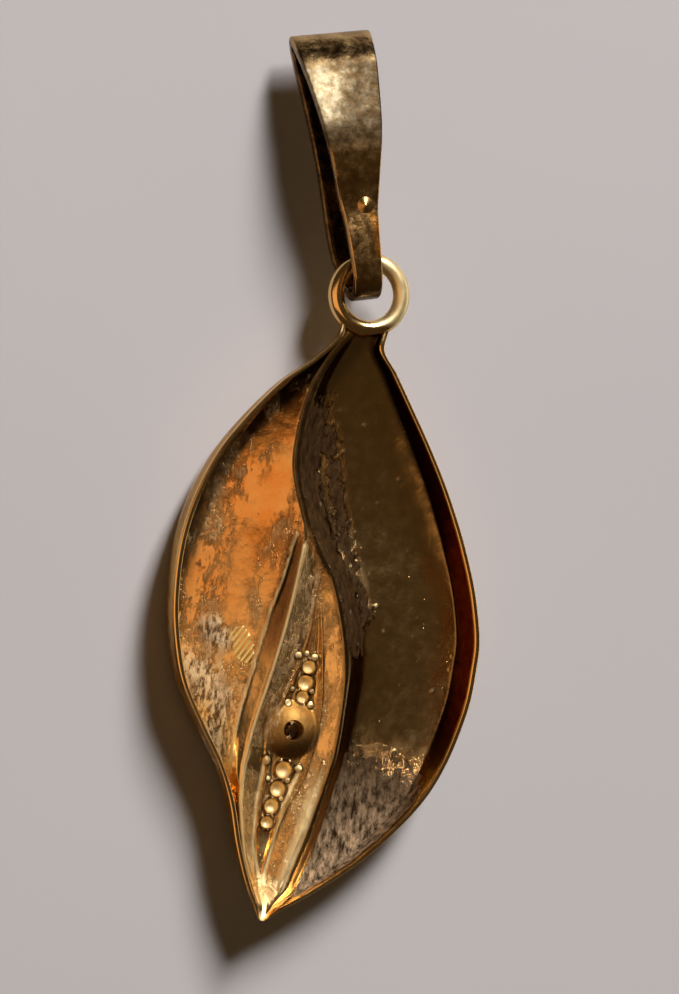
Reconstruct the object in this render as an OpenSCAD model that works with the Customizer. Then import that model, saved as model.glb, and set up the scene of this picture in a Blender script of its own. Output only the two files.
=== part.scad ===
// Leaf pendant in yellow gold with one round diamond, lying face down.
// The leaf is a hollow shell, open at the back. Its two lobes part along an S-shaped
// line, and a narrow panel with a row of beads and the diamond lies in the gap.
// Millimetres. +Y runs from the leaf's tip to its ring, +Z is the open back.

/* [Leaf] */
// Depth of the two lobes' crowns below the rim
leaf_depth = 2.25; // [2.2:0.05:2.5]
// Width of the rim's top edge
rim_width = 0.19; // [0.15:0.01:0.25]
// Run of the inner wall for each millimetre that it drops
wall_taper = 0.02; // [0.02:0.01:0.1]
// Run of the fillet between the inner wall and the floor
wall_fillet = 0.12; // [0.08:0.02:0.2]
// Thickness of the panel and of the walls' feet
shell_wall = 0.4; // [0.3:0.05:0.5]
// Depth of the panel's middle below its edges
panel_dip = 0.28; // [0.1:0.02:0.4]
// Depth of the bead channel in the panel
channel_depth = 0.16; // [0.1:0.02:0.24]
// Height of the lines that border the channel
channel_lip = 0.07; // [0.02:0.01:0.1]

/* [Setting] */
// Diameter of the diamond
stone_d = 1.4; // [1.2:0.05:1.5]
// Diameter of the round setting that holds it
setting_d = 2.1; // [1.9:0.02:2.2]
// Diameter of the hole behind the diamond
window_d = 0.7; // [0.4:0.02:0.8]
// Clearance between the diamond and its seat
stone_gap = 0.04; // [0.03:0.01:0.06]

/* [Ring] */
// Outside diameter of the soldered ring
ring_d = 3.04; // [2.9:0.02:3.2]
// Diameter of the ring's wire
ring_wire = 0.6; // [0.55:0.01:0.64]

/* [Bail] */
// Length of the bail from its loop to its fold
bail_length = 9.7; // [9.4:0.02:9.9]
// Thickness of the bail's strip
strip_t = 0.35; // [0.3:0.01:0.4]
// Outside diameter of the loop in the ring
loop_d = 1.82; // [1.76:0.02:1.88]
// Angle between the bail and the leaf's axis, as it lies
bail_lean = 17; // [12:0.5:19]

/* [Hidden] */
$fn = 48;

YELLOW_GOLD = "goldenrod";
CLEAR = "lightcyan";

// The leaf's outline at the rim: height above the tip, left edge, right edge
LEFT = 1;
RIGHT = 2;
OUTLINE = [
    [0.00, -0.06, 0.10],
    [0.12, -0.18, 0.26],
    [0.40, -0.34, 0.58],
    [1.20, -0.82, 1.66],
    [2.50, -1.39, 3.15],
    [4.00, -1.92, 4.45],
    [5.25, -2.57, 5.28],
    [6.50, -3.47, 5.80],
    [7.80, -4.33, 6.13],
    [9.00, -4.80, 6.32],
    [10.5, -5.16, 6.33],
    [12.4, -5.31, 5.93],
    [14.2, -5.12, 5.20],
    [16.0, -4.55, 4.25],
    [17.5, -3.73, 3.30],
    [19.0, -2.66, 2.23],
    [20.0, -1.66, 1.50],
    [20.9, -0.98, 0.84],
    [21.6, -0.85, 0.95],
];

// The relief in plan: height, S-line, run of the step right of it, width of the panel
// left of it, middle and half width of the bead channel
S_LINE = 1;
STEP_RUN = 2;
PANEL = 3;
CHANNEL = 4;
CHANNEL_HALF = 5;
RELIEF = [
    [0.00, 0.05, 0.02, 0.07, 0.01, 0.01],
    [0.12, 0.12, 0.04, 0.16, 0.02, 0.02],
    [0.40, 0.27, 0.10, 0.37, 0.08, 0.02],
    [1.20, 0.70, 0.42, 1.20, -0.08, 0.02],
    [2.10, 0.96, 0.64, 1.86, -0.20, 0.10],
    [3.00, 1.20, 0.74, 2.36, -0.22, 0.30],
    [4.00, 1.40, 0.80, 2.80, -0.12, 0.46],
    [5.25, 1.62, 0.82, 3.13, 0.10, 0.70],
    [6.50, 1.78, 0.84, 3.20, 0.12, 0.84],
    [7.80, 1.76, 0.92, 3.00, 0.30, 0.68],
    [9.00, 1.67, 1.04, 2.72, 0.36, 0.44],
    [10.5, 1.31, 1.24, 2.18, 0.34, 0.18],
    [12.4, 0.52, 1.34, 1.24, 0.04, 0.02],
    [13.4, -0.20, 1.38, 0.52, -0.42, 0.02],
    [14.2, -0.70, 1.38, 0.14, -0.77, 0.02],
    [16.0, -1.43, 1.16, 0.14, -1.50, 0.02],
    [17.5, -1.54, 0.88, 0.14, -1.61, 0.02],
    [19.0, -1.34, 0.64, 0.14, -1.41, 0.02],
    [20.0, -0.98, 0.47, 0.14, -1.05, 0.02],
    [21.6, -0.20, 0.28, 0.14, -0.27, 0.02],
];

// Depths below the rim: height, foot of the inner walls, small lobe's floor, edges of the
// panel, foot of the step, big lobe's floor
WALL_FOOT = 1;
SMALL_FLOOR = 2;
PANEL_EDGE = 3;
STEP_FOOT = 4;
BIG_FLOOR = 5;
DEPTHS = [
    [0.00, 0.08, 0.08, 0.07, 0.08, 0.09],
    [1.20, 0.50, 0.46, 0.32, 0.48, 0.54],
    [2.50, 0.90, 0.80, 0.42, 0.84, 0.94],
    [4.00, 1.25, 1.10, 0.46, 1.14, 1.32],
    [5.25, 1.48, 1.34, 0.46, 1.34, 1.56],
    [6.50, 1.66, 1.52, 0.46, 1.50, 1.72],
    [9.00, 1.80, 1.70, 0.44, 1.62, 1.84],
    [12.4, 1.82, 1.72, 0.44, 1.62, 1.85],
    [14.6, 1.76, 1.70, 0.46, 1.60, 1.83],
    [17.0, 1.50, 1.44, 0.48, 1.40, 1.58],
    [19.0, 1.10, 1.06, 0.44, 1.06, 1.18],
    [20.9, 0.48, 0.47, 0.34, 0.49, 0.52],
    [21.6, 0.19, 0.18, 0.16, 0.19, 0.20],
];

// The beads of the panel, hollow at the back: height, radius of the hollow
HOLLOWS = [
    [9.14, 0.24],
    [8.56, 0.28],
    [8.04, 0.22],
    [5.36, 0.30],
    [4.66, 0.28],
    [4.02, 0.26],
    [3.42, 0.22],
];

// The bail's half widths: distance from the loop's end, back leg, front leg
BACK_LEG = 1;
FRONT_LEG = 2;
BAIL_OUTLINE = [
    [0.0, 0.51, 0.51],
    [0.5, 0.51, 0.53],
    [1.0, 0.53, 0.68],
    [1.7, 0.56, 0.86],
    [2.9, 0.63, 0.94],
    [3.7, 0.74, 0.95],
    [4.7, 0.87, 0.98],
    [6.0, 1.06, 1.08],
    [7.5, 1.25, 1.25],
    [8.5, 1.38, 1.38],
    [9.9, 1.52, 1.52],
];

// The folded strip seen from its side, from the loop's underside around the fold to the
// loop's top: distance from the loop's end, height above the floor
BAIL_SIDE = [
    [1.9, 1.12],
    [2.7, 1.10],
    [3.6, 1.06],
    [4.5, 1.03],
    [5.5, 1.01],
    [6.5, 1.00],
    [7.5, 0.98],
    [8.4, 0.96],
    [9.1, 0.96],
    [9.56, 1.06],
    [9.76, 1.30],
    [9.68, 1.54],
    [9.42, 1.80],
    [9.1, 2.04],
    [8.7, 2.29],
    [8.3, 2.48],
    [7.7, 2.70],
    [7.0, 2.92],
    [6.4, 3.07],
    [5.8, 3.14],
    [5.2, 3.12],
    [4.5, 3.02],
    [3.9, 2.88],
    [3.4, 2.81],
    [2.9, 2.86],
    [2.4, 2.92],
    [1.9, 2.94],
];

tip_y = OUTLINE[0][0];
neck_y = OUTLINE[len(OUTLINE) - 1][0];
floor_z = -leaf_depth;
big_wall = leaf_depth - max([for (row = DEPTHS) row[BIG_FLOOR]]);
small_wall = leaf_depth - max([for (row = DEPTHS) row[SMALL_FLOOR]]);
narrow_panel = 0.14;
wide_panel = 1.5;
stations = 50;
tip_crowding = 1.2;
left_foot_share = 0.96;
small_edge_share = 0.34;
small_deepest = 0.05;
small_bend = 1.2;
big_deepest = 0.8;
big_bend = 2;
outer_wall_share = 0.38;
outer_lean = 0.02;
neck_drop = 0.1;
neck_drop_length = 0.7;

setting_x = 0.1;
setting_y = 6.82;
setting_foot_z = -2;
setting_shoulder_z = -0.95;
setting_top_z = -0.42;
setting_dome_h = setting_top_z - setting_shoulder_z;
setting_dome_r = ((setting_d / 2) ^ 2 + setting_dome_h ^ 2) / (2 * setting_dome_h);
bead_wall = 0.2;
bead_sink = 0.2;
grain_d = 0.3;
grain_inset = 0.28;
grains = 6;

girdle_z = -1.74;
girdle_t = 0.04;
crown_angle = 34.5;
pavilion_angle = 40.8;
table_share = 0.56;
star_share = 0.5;
lower_half_share = 0.77;

ring_r = (ring_d - ring_wire) / 2;
ring_y = 22.65;
ring_z = -0.28;

loop_r = loop_d / 2;
loop_x = -0.13;
loop_y = 22.42;
loop_z = 2.03;
legs_part_z = 1.85;
loop_steps = 10;

// Smooth curve through one column of a table, whose first column is height

function span(t, y, i = 0) = i < len(t) - 2 && y > t[i + 1][0] ? span(t, y, i + 1) : i;

function slope(t, c, i) =
    let (
        a = max(i - 1, 0),
        b = min(i + 1, len(t) - 1),
        turns = a < i && i < b && (t[b][c] - t[i][c]) * (t[i][c] - t[a][c]) <= 0
    )
    turns ? 0 : (t[b][c] - t[a][c]) / (t[b][0] - t[a][0]);

function at(t, c, y) =
    let (i = span(t, y), h = t[i + 1][0] - t[i][0], u = (y - t[i][0]) / h)
    (2 * u ^ 3 - 3 * u ^ 2 + 1) * t[i][c]
    + (u ^ 3 - 2 * u ^ 2 + u) * h * slope(t, c, i)
    + (3 * u ^ 2 - 2 * u ^ 3) * t[i + 1][c]
    + (u ^ 3 - u ^ 2) * h * slope(t, c, i + 1);

function mix(a, b, u) = a + (b - a) * u;
function clamp(u, low, high) = min(max(u, low), high);
function smooth(u) = u * u * (3 - 2 * u);
function backwards(list) = [for (i = [len(list) - 1:-1:0]) list[i]];
function last(list) = list[len(list) - 1];

// Lines of [x, z] points that make up one cross-section of the shell

// Inner wall from the rim at x0 to its foot, towards side = 1 or -1
function wall_line(x0, rim_z, foot, side, room, n = 5) =
    let (taper = wall_taper * foot, run = min(1, room / (taper + wall_fillet)))
    [for (i = [1:n])
        let (a = 90 * i / n, along = sin(a) ^ 0.7, round = 1 - cos(a) ^ 0.7)
        [x0 + side * run * (taper * along + wall_fillet * round), mix(rim_z, -foot, along)]];

// Floor between two points, dished to z = -depth at a share of the way. It is round with a
// bend of 2 and has two straight slopes with a bend of 1.
function dish_line(p, q, depth, n, deepest, bend) = [
    for (i = [1:n - 1])
        let (
            u = i / n,
            before = u < deepest,
            away = before ? (deepest - u) / deepest : (u - deepest) / (1 - deepest)
        )
        [mix(p[0], q[0], u), mix(-depth, (before ? p : q)[1], away ^ bend)]
];

// Soft step between two points
function step_line(p, q, n = 4) = [
    for (i = [0:n]) [mix(p[0], q[0], i / n), mix(p[1], q[1], smooth(i / n))]
];

// Bead channel between its two raised borders
function channel_line(mid, half, border, z, lip, deep) = [
    [mid - half - border, z],
    [mid - half - border / 2, z + lip],
    [mid - half, z],
    [mid - 0.6 * half, z - deep],
    [mid + 0.6 * half, z - deep],
    [mid + half, z],
    [mid + half + border / 2, z + lip],
    [mid + half + border, z],
];

// Outer wall from near the rim to the crown's edge
function shoulder_line(x, side, top, foot, n = 6) = [
    for (i = [0:n])
        let (a = 90 * i / n)
        [mix(x + side * outer_lean, foot[0], 1 - cos(a)), mix(top, foot[1], sin(a))]
];

function rim_z(y) = -neck_drop * smooth(clamp((y - neck_y) / neck_drop_length + 1, 0, 1));

// How far the panel is open, from 0 where it is only the S-line to 1
function openness(y) =
    clamp((at(RELIEF, PANEL, y) - narrow_panel) / (wide_panel - narrow_panel), 0, 1);

// The bead channel of the cross-section at y, kept inside the panel. It fades out where
// the panel is narrow.
function channel_at(y, z, lip, deep) =
    let (
        s = at(RELIEF, S_LINE, y),
        panel = at(RELIEF, PANEL, y),
        border = min(0.1, 0.1 * panel),
        half = min(at(RELIEF, CHANNEL_HALF, y), 0.3 * panel),
        reach = half + 1.5 * border,
        mid = clamp(at(RELIEF, CHANNEL, y), s - panel + reach, s - reach),
        share = clamp(half / 0.3, 0, 1)
    )
    channel_line(mid, half, border, z, lip * share, deep * share);

function rim(y) = min(rim_width, 0.18 * (at(OUTLINE, RIGHT, y) - at(OUTLINE, LEFT, y)));
function panel_x(y) = at(RELIEF, S_LINE, y) - at(RELIEF, PANEL, y);
function small_room(y) = panel_x(y) - at(OUTLINE, LEFT, y) - rim(y);

function left_wall(y) =
    let (foot = min(at(DEPTHS, WALL_FOOT, y), max(at(DEPTHS, SMALL_FLOOR, y), at(DEPTHS, PANEL_EDGE, y))))
    wall_line(at(OUTLINE, LEFT, y) + rim(y), rim_z(y), left_foot_share * foot, 1, 0.6 * small_room(y));

function right_wall(y) =
    let (r = at(OUTLINE, RIGHT, y))
    wall_line(r - rim(y), rim_z(y), at(DEPTHS, WALL_FOOT, y), -1, 0.3 * (r - at(RELIEF, S_LINE, y)));

// Right edge of the small lobe's floor
function small_edge(y) =
    let (
        room = small_room(y),
        lobe = openness(y) * clamp((room - 0.5) / 0.7, 0, 1),
        z = mix(at(DEPTHS, PANEL_EDGE, y), small_edge_share * at(DEPTHS, SMALL_FLOOR, y), lobe)
    )
    [panel_x(y) - min(0.55 * lobe + 0.06, 0.3 * room), -z];

// Foot of the step, on the left edge of the big lobe's floor
function step_foot(y) =
    let (s = at(RELIEF, S_LINE, y))
    [min(s + at(RELIEF, STEP_RUN, y), mix(s, last(right_wall(y))[0], 0.7)), -at(DEPTHS, STEP_FOOT, y)];

function back_line(y) =
    let (
        l = at(OUTLINE, LEFT, y),
        r = at(OUTLINE, RIGHT, y),
        top = rim_z(y),
        edge = -at(DEPTHS, PANEL_EDGE, y),
        left = left_wall(y),
        right = right_wall(y),
        small = small_edge(y),
        step = step_foot(y)
    )
    concat(
        [[l, top], [l + rim(y), top]],
        left,
        dish_line(last(left), small, at(DEPTHS, SMALL_FLOOR, y), 6, small_deepest, small_bend),
        [small, [panel_x(y), edge]],
        channel_at(y, edge - panel_dip * openness(y), channel_lip, channel_depth),
        step_line([at(RELIEF, S_LINE, y), edge], step),
        dish_line(step, last(right), at(DEPTHS, BIG_FLOOR, y), 8, big_deepest, big_bend),
        backwards(right),
        [[r - rim(y), top], [r, top]]
    );

// The front, from right to left, lies a wall's thickness below the back
function front_line(y) =
    let (
        l = at(OUTLINE, LEFT, y),
        r = at(OUTLINE, RIGHT, y),
        s = at(RELIEF, S_LINE, y),
        thin = clamp((r - l) / 3, 0.35, 1),
        wall = shell_wall * thin,
        edge = -at(DEPTHS, PANEL_EDGE, y),
        shift = min(0.2, 0.1 * at(RELIEF, PANEL, y)),
        small = small_edge(y),
        step = step_foot(y),
        panel_front = [panel_x(y) + shift, edge - wall],
        s_front = [s - shift, edge - wall],
        small_front = [mix(small[0], panel_front[0], 0.4), small[1] - wall],
        step_front = [mix(step[0], s_front[0], 0.4), step[1] - wall],
        left_front = last(left_wall(y)) - [0, wall],
        right_front = last(right_wall(y)) - [0, wall],
        small_depth = at(DEPTHS, SMALL_FLOOR, y) + small_wall * thin,
        big_depth = at(DEPTHS, BIG_FLOOR, y) + big_wall * thin,
        top = -outer_wall_share * (at(DEPTHS, WALL_FOOT, y) + wall),
        middle_z = edge - panel_dip * openness(y) - wall
    )
    concat(
        shoulder_line(r, -1, top, right_front),
        dish_line(right_front, step_front, big_depth, 8, 1 - big_deepest, big_bend),
        step_line(step_front, s_front),
        backwards(channel_at(y, middle_z, 0, channel_depth)),
        [panel_front, small_front],
        dish_line(small_front, left_front, small_depth, 6, 1 - small_deepest, small_bend),
        backwards(shoulder_line(l, 1, top, left_front))
    );

function station(i) = mix(tip_y, neck_y, (i / stations) ^ tip_crowding);

module shell() {
    sections = [
        for (i = [0:stations])
            let (y = station(i))
            [for (p = concat(back_line(y), front_line(y))) [p[0], y, p[1]]]
    ];
    n = len(sections[0]);
    sides = [
        for (i = [0:stations - 1], j = [0:n - 1])
            let (a = i * n + j, b = i * n + (j + 1) % n)
            each [[a, b + n, b], [a, a + n, b + n]]
    ];
    caps = [
        for (j = [0:n / 2 - 2], k = [0, stations * n])
            let (a = j, b = j + 1, c = n - 2 - j, d = n - 1 - j)
            each k == 0 ? [[a, b, c], [a, c, d]] : [[d + k, c + k, b + k], [d + k, b + k, a + k]]
    ];
    polyhedron([for (s = sections) each s], concat(sides, caps), convexity = 10);
}

// Middle of the bead channel at its border's height: [x, y, z]
function channel_point(y) =
    let (line = channel_at(y, 0, 0, 0))
    [(line[3][0] + line[4][0]) / 2, y, -at(DEPTHS, PANEL_EDGE, y) - panel_dip * openness(y)];

module at_setting() {
    translate([setting_x, setting_y, 0]) children();
}

module setting() {
    at_setting() rotate_extrude() intersection() {
        translate([0, setting_top_z - setting_dome_r]) circle(setting_dome_r);
        translate([0, setting_foot_z]) square([setting_d / 2, setting_top_z - setting_foot_z]);
    }
    for (i = [0:grains - 1])
        at_setting() rotate(360 * i / grains) translate([setting_d / 2 - grain_inset, 0, setting_foot_z])
            sphere(d = grain_d);
}

module seat() {
    r = stone_d / 2 + stone_gap;
    window_r = window_d / 2;
    cone_z = girdle_z + girdle_t / 2;
    cone_top_z = cone_z + (r - window_r) * tan(pavilion_angle);
    at_setting() rotate_extrude() polygon([
        [0, setting_foot_z - 1],
        [r, setting_foot_z - 1],
        [r, cone_z],
        [window_r, cone_top_z],
        [window_r, setting_top_z + 1],
        [0, setting_top_z + 1],
    ]);
}

module bead(row) {
    r = row[1] + bead_wall;
    translate(channel_point(row[0]) - [0, 0, bead_sink]) intersection() {
        sphere(r);
        translate([-r, -r, -2 * r]) cube(2 * r);
    }
}

module hollow(row) {
    translate(channel_point(row[0]) - [0, 0, bead_sink]) sphere(row[1]);
}

module ring() {
    translate([0, ring_y, ring_z]) rotate_extrude() translate([ring_r, 0]) circle(d = ring_wire);
}

module leaf() {
    color(YELLOW_GOLD) as_it_lies() difference() {
        union() {
            shell();
            ring();
            setting();
            for (row = HOLLOWS) bead(row);
        }
        seat();
        for (row = HOLLOWS) hollow(row);
    }
}

// Closed line with its corners cut
function cut_corners(line) = [
    for (i = [0:len(line) - 1])
        let (p = line[i], q = line[(i + 1) % len(line)])
        each [mix(p, q, 0.25), mix(p, q, 0.75)]
];

// Closed counter-clockwise line moved in by a distance
function moved_in(line, distance) = [
    for (i = [0:len(line) - 1])
        let (along = line[(i + 1) % len(line)] - line[(i + len(line) - 1) % len(line)])
        line[i] + distance * [-along[1], along[0]] / norm(along)
];

// Outline of the folded strip seen from its side
function bail_side() =
    let (
        step = 180 / loop_steps,
        loop = [for (i = [0:loop_steps]) [loop_r * (1 - sin(step * i)), loop_z + loop_r * cos(step * i)]],
        line = cut_corners(concat(BAIL_SIDE, loop)),
        stretch = bail_length / max([for (p = line) p[0]])
    )
    [for (p = line) [p[0] * stretch, p[1]]];

module bail() {
    outside = bail_side();
    inside = moved_in(outside, strip_t);
    n = len(outside);
    corners = [
        for (i = [0:n - 1])
            let (
                p = outside[i],
                q = inside[i],
                half = at(BAIL_OUTLINE, p[1] < legs_part_z ? FRONT_LEG : BACK_LEG, p[0])
            )
            each [[-half, p[0], p[1]], [half, p[0], p[1]], [half, q[0], q[1]], [-half, q[0], q[1]]]
    ];
    sides = [
        for (i = [0:n - 1], k = [0:3])
            let (a = 4 * i + k, b = 4 * i + (k + 1) % 4, c = (a + 4) % (4 * n), d = (b + 4) % (4 * n))
            each [[a, b, d], [a, d, c]]
    ];
    color(YELLOW_GOLD) as_it_lies() translate([loop_x, loop_y, floor_z]) rotate([0, 0, bail_lean])
        polyhedron(corners, sides, convexity = 6);
}

// Round brilliant of radius 1 with its girdle at z = 0 and its table towards -z
function on_circle(r, angle, z) = [r * cos(angle), r * sin(angle), z];

module brilliant() {
    t = girdle_t / stone_d;
    table_z = -t - (1 - table_share) * tan(crown_angle);
    star_r = mix(table_share * cos(22.5), 1, star_share);
    star_z = -t - (1 - star_r * cos(22.5)) * tan(crown_angle);
    half_r = 1 - lower_half_share;
    half_z = t + (1 - half_r * cos(22.5)) * tan(pavilion_angle);
    culet_z = t + tan(pavilion_angle);
    table = [for (k = [0:7]) on_circle(table_share, 45 * k, table_z)];
    stars = [for (k = [0:7]) on_circle(star_r, 45 * k + 22.5, star_z)];
    front_girdle = [for (k = [0:15]) on_circle(1, 22.5 * k, -t)];
    back_girdle = [for (k = [0:15]) on_circle(1, 22.5 * k, t)];
    halves = [for (k = [0:7]) on_circle(half_r, 45 * k + 22.5, half_z)];
    T = 0;
    S = 8;
    F = 16;
    B = 32;
    H = 48;
    C = 56;
    facets = [
        for (k = [0:7])
            let (j = (k + 1) % 8, i = (k + 7) % 8, f = 2 * k, g = 2 * k + 1, h = (2 * k + 2) % 16)
            each [
                [T + k, T + j, S + k],
                [T + k, S + k, F + f, S + i],
                [S + k, F + g, F + f],
                [S + k, F + h, F + g],
                [F + f, F + g, B + g, B + f],
                [F + g, F + h, B + h, B + g],
                [B + f, B + g, H + k],
                [B + g, B + h, H + k],
                [B + f, H + k, C, H + i],
            ]
    ];
    polyhedron(
        concat(table, stars, front_girdle, back_girdle, halves, [[0, 0, culet_z]]),
        concat([[for (k = [0:7]) T + k]], [for (facet = facets) backwards(facet)])
    );
}

module diamond() {
    color(CLEAR) as_it_lies() at_setting() translate([0, 0, girdle_z]) scale(stone_d / 2) brilliant();
}

// Everything stands on the floor, with the origin under the middle of the whole
module as_it_lies() {
    left = min([for (i = [0:stations]) at(OUTLINE, LEFT, station(i))]);
    right = max([for (i = [0:stations]) at(OUTLINE, RIGHT, station(i))]);
    half_fold = at(BAIL_OUTLINE, BACK_LEG, bail_length);
    top = loop_y + bail_length * cos(bail_lean) + half_fold * sin(bail_lean);
    translate([-(left + right) / 2, -(tip_y + top) / 2, leaf_depth]) children();
}

leaf();
bail();
diamond();
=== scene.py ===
"""Looks of the leaf pendant: a cast gold shell lying face down, its folded bail and one round diamond.

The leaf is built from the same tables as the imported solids, in millimetres in its own frame: x = 0 at
the ring, y = 0 at the tip, z = 0 at the rim, +z towards the open back. to_row() moves it to the row frame.
"""

import math

import bpy
import numpy as np
from mathutils import Matrix, Vector, noise


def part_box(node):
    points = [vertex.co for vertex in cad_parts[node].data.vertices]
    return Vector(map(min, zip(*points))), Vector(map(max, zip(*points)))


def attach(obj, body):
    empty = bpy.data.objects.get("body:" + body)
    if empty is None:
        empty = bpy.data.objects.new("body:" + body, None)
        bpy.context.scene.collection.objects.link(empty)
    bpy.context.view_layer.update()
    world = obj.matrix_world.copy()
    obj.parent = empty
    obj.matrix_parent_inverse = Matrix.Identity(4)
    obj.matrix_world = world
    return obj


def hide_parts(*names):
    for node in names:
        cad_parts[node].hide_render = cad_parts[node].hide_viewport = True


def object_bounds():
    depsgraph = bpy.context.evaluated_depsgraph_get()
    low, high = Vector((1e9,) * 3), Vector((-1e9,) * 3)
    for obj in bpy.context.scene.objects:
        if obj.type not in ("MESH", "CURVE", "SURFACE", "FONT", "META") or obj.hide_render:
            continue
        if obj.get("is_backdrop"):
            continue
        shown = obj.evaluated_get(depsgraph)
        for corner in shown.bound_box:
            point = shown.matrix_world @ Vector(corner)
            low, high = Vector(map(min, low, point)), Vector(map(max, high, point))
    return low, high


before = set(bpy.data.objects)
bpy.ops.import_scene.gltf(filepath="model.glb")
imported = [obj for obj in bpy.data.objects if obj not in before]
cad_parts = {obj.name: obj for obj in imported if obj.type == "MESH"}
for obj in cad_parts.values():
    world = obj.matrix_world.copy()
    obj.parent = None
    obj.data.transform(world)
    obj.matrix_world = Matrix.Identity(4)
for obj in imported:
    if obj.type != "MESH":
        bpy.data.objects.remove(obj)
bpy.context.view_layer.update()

MM = 0.001

# The leaf's outline at the rim: height above the tip, left edge, right edge
OUTLINE = np.array([
    [0.00, -0.06, 0.10], [0.12, -0.18, 0.26], [0.40, -0.34, 0.58], [1.20, -0.82, 1.66],
    [2.50, -1.39, 3.15], [4.00, -1.92, 4.45], [5.25, -2.57, 5.28], [6.50, -3.47, 5.80],
    [7.80, -4.33, 6.13], [9.00, -4.80, 6.32], [10.5, -5.16, 6.33], [12.4, -5.31, 5.93],
    [14.2, -5.12, 5.20], [16.0, -4.55, 4.25], [17.5, -3.73, 3.30], [19.0, -2.66, 2.23],
    [20.0, -1.66, 1.50], [20.9, -0.98, 0.84], [21.6, -0.85, 0.95],
])
LEFT, RIGHT = 1, 2

# The relief in plan: height, S-line, run of the step right of it, width of the panel left of it,
# middle and half width of the bead channel
RELIEF = np.array([
    [0.00, 0.05, 0.02, 0.07, 0.01, 0.01], [0.12, 0.12, 0.04, 0.16, 0.02, 0.02],
    [0.40, 0.27, 0.10, 0.37, 0.08, 0.02], [1.20, 0.70, 0.42, 1.20, -0.08, 0.02],
    [2.10, 0.96, 0.64, 1.86, -0.20, 0.10], [3.00, 1.20, 0.74, 2.36, -0.22, 0.30],
    [4.00, 1.40, 0.80, 2.80, -0.12, 0.46], [5.25, 1.62, 0.82, 3.13, 0.10, 0.70],
    [6.50, 1.78, 0.84, 3.20, 0.12, 0.84], [7.80, 1.76, 0.92, 3.00, 0.30, 0.68],
    [9.00, 1.67, 1.04, 2.72, 0.36, 0.44], [10.5, 1.31, 1.24, 2.18, 0.34, 0.18],
    [12.4, 0.52, 1.34, 1.24, 0.04, 0.02], [13.4, -0.20, 1.38, 0.52, -0.42, 0.02],
    [14.2, -0.70, 1.38, 0.14, -0.77, 0.02], [16.0, -1.43, 1.16, 0.14, -1.50, 0.02],
    [17.5, -1.54, 0.88, 0.14, -1.61, 0.02], [19.0, -1.34, 0.64, 0.14, -1.41, 0.02],
    [20.0, -0.98, 0.47, 0.14, -1.05, 0.02], [21.6, -0.20, 0.28, 0.14, -0.27, 0.02],
])
S_LINE, STEP_RUN, PANEL, CHANNEL, CHANNEL_HALF = 1, 2, 3, 4, 5

# Depths below the rim: height, foot of the inner walls, small lobe's floor, edges of the panel,
# foot of the step, big lobe's floor
DEPTHS = np.array([
    [0.00, 0.08, 0.08, 0.07, 0.08, 0.09], [1.20, 0.50, 0.46, 0.32, 0.48, 0.54],
    [2.50, 0.90, 0.80, 0.42, 0.84, 0.94], [4.00, 1.25, 1.10, 0.46, 1.14, 1.32],
    [5.25, 1.48, 1.34, 0.46, 1.34, 1.56], [6.50, 1.66, 1.52, 0.46, 1.50, 1.72],
    [9.00, 1.80, 1.70, 0.44, 1.62, 1.84], [12.4, 1.82, 1.72, 0.44, 1.62, 1.85],
    [14.6, 1.76, 1.70, 0.46, 1.60, 1.83], [17.0, 1.50, 1.44, 0.48, 1.40, 1.58],
    [19.0, 1.10, 1.06, 0.44, 1.06, 1.18], [20.9, 0.48, 0.47, 0.34, 0.49, 0.52],
    [21.6, 0.19, 0.18, 0.16, 0.19, 0.20],
])
WALL_FOOT, SMALL_FLOOR, PANEL_EDGE, STEP_FOOT, BIG_FLOOR = 1, 2, 3, 4, 5

# The beads of the panel, hollow at the back: x of the pale mark, height, radius of the hollow. The
# hollow itself lies in the middle of the channel.
BEADS = [(0.36, 9.14, 0.24), (0.33, 8.56, 0.28), (0.32, 8.04, 0.22), (0.10, 5.36, 0.30), (0.0, 4.66, 0.28),
         (-0.12, 4.02, 0.26), (-0.18, 3.42, 0.22)]

# Grains cast on the back beside the channel: x, y, radius
GRAINS = [(-0.16, 9.50, 0.13), (0.50, 9.52, 0.13), (0.18, 9.62, 0.10), (-0.62, 5.62, 0.17),
          (-0.12, 8.28, 0.10), (0.62, 8.30, 0.10), (-0.20, 7.78, 0.12), (0.66, 7.82, 0.12),
          (0.62, 5.50, 0.13), (0.30, 5.02, 0.10), (-0.42, 4.98, 0.10), (0.18, 4.34, 0.09)]

# Thin ridges as lines of (x, y) points: along the right edge of the small lobe's floor, on the crest
# between that lobe and the panel, and right of the channel
EDGE_RIDGE = [(-1.05, 13.8), (-1.26, 12.0), (-1.54, 10.7), (-1.75, 9.0), (-1.95, 7.4), (-2.02, 6.0),
              (-1.80, 4.4)]
CREST_RIDGE = [(-0.72, 13.4), (-0.79, 11.5), (-0.87, 10.5), (-1.05, 9.0), (-1.24, 7.8), (-1.42, 6.5),
               (-1.51, 5.25), (-1.40, 4.0), (-1.16, 3.0), (-0.90, 2.1), (-0.50, 1.2)]
CHANNEL_RIDGE = [(1.41, 5.85), (1.08, 3.59), (0.78, 2.29), (0.55, 1.20)]

LEAF_DEPTH = 2.25
RIM_WIDTH, RIM_ROUND = 0.19, 0.07
WALL_TAPER, WALL_FILLET = 0.02, 0.12
WALL_POWER = 0.7
LEFT_FOOT_SHARE = 0.96
SMALL_EDGE_SHARE = 0.34
SMALL_DEEPEST, BIG_DEEPEST = 0.05, 0.8
SMALL_BEND, BIG_BEND = 1.2, 2
SLOPE_RUN, LEAST_SLOPE_RUN = 0.55, 0.06

# Widths between which the small lobe and the panel open
NARROW_LOBE, WIDE_LOBE = 0.5, 1.2
NARROW_PANEL, WIDE_PANEL = 0.14, 1.5

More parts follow.
